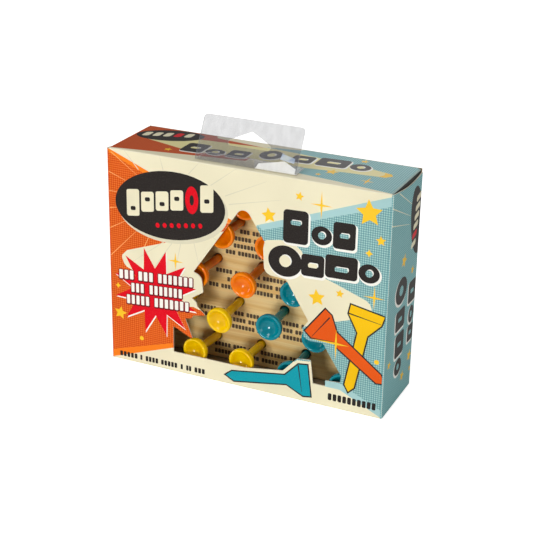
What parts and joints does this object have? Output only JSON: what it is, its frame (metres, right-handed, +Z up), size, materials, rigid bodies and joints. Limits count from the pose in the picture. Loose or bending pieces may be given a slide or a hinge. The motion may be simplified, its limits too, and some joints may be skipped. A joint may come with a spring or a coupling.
{
  "type": "triangle peg jump game",
  "caption": "Triangular wooden peg-jump board with golf-tee pegs, held in a paperboard window carton that has tuck ends and a clear hang tab.",
  "frame": {"origin": "centre of the carton's footprint, on the table plane under its bottom panel", "axes": "+X along the carton's width, to the right seen from the front; +Y from the window face to the back; +Z up"},
  "size_m": [0.152, 0.043, 0.1381],
  "materials": {
    "printed_card": "coated paperboard, printed outside in cream, orange and pale teal, plain brown inside",
    "natural_wood": "pale straight-grained wood, lightly sanded, with dark brown printed lines",
    "clear_film": "clear glossy film with a faint blue-white veil",
    "orange_plastic": "moulded glossy plastic",
    "yellow_plastic": "moulded glossy plastic",
    "teal_plastic": "moulded glossy plastic"
  },
  "bodies": {
    "carton": {"carton_sleeve": "printed_card", "play_board": "natural_wood", "hang_tab_foot": "clear_film"},
    "right_end_flap": {"right_end_flap": "printed_card"},
    "right_tuck_tongue": {"right_tuck_tongue": "printed_card"},
    "right_upper_dust_flap": {"right_upper_dust_flap": "printed_card"},
    "right_lower_dust_flap": {"right_lower_dust_flap": "printed_card"},
    "left_end_flap": {"left_end_flap": "printed_card"},
    "left_tuck_tongue": {"left_tuck_tongue": "printed_card"},
    "left_upper_dust_flap": {"left_upper_dust_flap": "printed_card"},
    "left_lower_dust_flap": {"left_lower_dust_flap": "printed_card"},
    "hang_tab": {"hang_tab": "clear_film"},
    "peg_orange_1": {"peg_orange_1": "orange_plastic"},
    "peg_orange_2": {"peg_orange_2": "orange_plastic"},
    "peg_orange_3": {"peg_orange_3": "orange_plastic"},
    "peg_orange_4": {"peg_orange_4": "orange_plastic"},
    "peg_orange_5": {"peg_orange_5": "orange_plastic"},
    "peg_teal_1": {"peg_teal_1": "teal_plastic"},
    "peg_yellow_1": {"peg_yellow_1": "yellow_plastic"},
    "peg_yellow_2": {"peg_yellow_2": "yellow_plastic"},
    "peg_teal_2": {"peg_teal_2": "teal_plastic"},
    "peg_teal_3": {"peg_teal_3": "teal_plastic"},
    "peg_yellow_3": {"peg_yellow_3": "yellow_plastic"},
    "peg_yellow_4": {"peg_yellow_4": "yellow_plastic"},
    "peg_teal_4": {"peg_teal_4": "teal_plastic"},
    "peg_teal_5": {"peg_teal_5": "teal_plastic"}
  },
  "joints": [
    {"name": "right_end_flap_hinge", "type": "hinge", "parent": "carton", "child": "right_end_flap", "pos_m": [0.076, -0.0215, 0.0585], "axis": [0, 0, -1], "range_deg": [0, 110]},
    {"name": "right_tuck_tongue_fold", "type": "hinge", "parent": "right_end_flap", "child": "right_tuck_tongue", "pos_m": [0.0754, 0.0197, 0.0585], "axis": [0, 0, 1], "range_deg": [0, 55]},
    {"name": "right_upper_dust_flap_fold", "type": "hinge", "parent": "carton", "child": "right_upper_dust_flap", "pos_m": [0.0751, 0, 0.117], "axis": [0, -1, 0], "range_deg": [0, 88]},
    {"name": "right_lower_dust_flap_fold", "type": "hinge", "parent": "carton", "child": "right_lower_dust_flap", "pos_m": [0.0751, 0, 0], "axis": [0, 1, 0], "range_deg": [0, 88]},
    {"name": "left_end_flap_hinge", "type": "hinge", "parent": "carton", "child": "left_end_flap", "pos_m": [-0.076, -0.0215, 0.0585], "axis": [0, 0, 1], "range_deg": [0, 110]},
    {"name": "left_tuck_tongue_fold", "type": "hinge", "parent": "left_end_flap", "child": "left_tuck_tongue", "pos_m": [-0.0754, 0.0197, 0.0585], "axis": [0, 0, -1], "range_deg": [0, 55]},
    {"name": "left_upper_dust_flap_fold", "type": "hinge", "parent": "carton", "child": "left_upper_dust_flap", "pos_m": [-0.0751, 0, 0.117], "axis": [0, 1, 0], "range_deg": [0, 88]},
    {"name": "left_lower_dust_flap_fold", "type": "hinge", "parent": "carton", "child": "left_lower_dust_flap", "pos_m": [-0.0751, 0, 0], "axis": [0, -1, 0], "range_deg": [0, 88]},
    {"name": "hang_tab_fold", "type": "hinge", "parent": "carton", "child": "hang_tab", "pos_m": [0, -0.0187, 0.118], "axis": [-1, 0, 0], "range_deg": [-29.5, 54.5]},
    {"name": "peg_orange_1_pull", "type": "slide", "parent": "carton", "child": "peg_orange_1", "axis": [-0.0924, -0.9592, -0.2672], "range_m": [-0.001, 0]},
    {"name": "peg_orange_2_pull", "type": "slide", "parent": "carton", "child": "peg_orange_2", "axis": [-0.0244, -0.9995, 0.0192], "range_m": [-0.002, 0]},
    {"name": "peg_orange_3_pull", "type": "slide", "parent": "carton", "child": "peg_orange_3", "axis": [-0.0312, -0.9944, -0.1011], "range_m": [-0.002, 0]},
    {"name": "peg_orange_4_pull", "type": "slide", "parent": "carton", "child": "peg_orange_4", "axis": [-0.0938, -0.9922, -0.0819], "range_m": [-0.002, 0]},
    {"name": "peg_orange_5_pull", "type": "slide", "parent": "carton", "child": "peg_orange_5", "axis": [-0.0468, -0.9927, -0.1115], "range_m": [-0.002, 0.012]},
    {"name": "peg_teal_1_pull", "type": "slide", "parent": "carton", "child": "peg_teal_1", "axis": [0.0348, -0.9968, -0.0715], "range_m": [-0.002, 0]},
    {"name": "peg_yellow_1_pull", "type": "slide", "parent": "carton", "child": "peg_yellow_1", "axis": [-0.0348, -0.997, -0.0698], "range_m": [-0.002, 0]},
    {"name": "peg_yellow_2_pull", "type": "slide", "parent": "carton", "child": "peg_yellow_2", "axis": [-0.0813, -0.9894, -0.1201], "range_m": [-0.002, 0.012]},
    {"name": "peg_teal_2_pull", "type": "slide", "parent": "carton", "child": "peg_teal_2", "axis": [0.0349, -0.9993, -0.0105], "range_m": [-0.002, 0.012]},
    {"name": "peg_teal_3_pull", "type": "slide", "parent": "carton", "child": "peg_teal_3", "axis": [0.0104, -0.9966, -0.0819], "range_m": [-0.002, 0]},
    {"name": "peg_yellow_3_pull", "type": "slide", "parent": "carton", "child": "peg_yellow_3", "axis": [-0.1288, -0.9913, -0.0262], "range_m": [-0.002, 0]},
    {"name": "peg_yellow_4_pull", "type": "slide", "parent": "carton", "child": "peg_yellow_4", "axis": [-0.0749, -0.9965, -0.0366], "range_m": [-0.002, 0]},
    {"name": "peg_teal_4_pull", "type": "slide", "parent": "carton", "child": "peg_teal_4", "axis": [0.0087, -0.9974, -0.0715], "range_m": [-0.002, 0]},
    {"name": "peg_teal_5_pull", "type": "slide", "parent": "carton", "child": "peg_teal_5", "axis": [0.1248, -0.9877, -0.0941], "range_m": [-0.002, 0]}
  ],
  "couplings": [
    {"joint": "right_tuck_tongue_fold", "follows": "right_end_flap_hinge", "ratio": 0.5},
    {"joint": "right_upper_dust_flap_fold", "follows": "right_end_flap_hinge", "ratio": 0.8},
    {"joint": "right_lower_dust_flap_fold", "follows": "right_end_flap_hinge", "ratio": 0.8},
    {"joint": "left_tuck_tongue_fold", "follows": "left_end_flap_hinge", "ratio": 0.5},
    {"joint": "left_upper_dust_flap_fold", "follows": "left_end_flap_hinge", "ratio": 0.8},
    {"joint": "left_lower_dust_flap_fold", "follows": "left_end_flap_hinge", "ratio": 0.8}
  ]
}
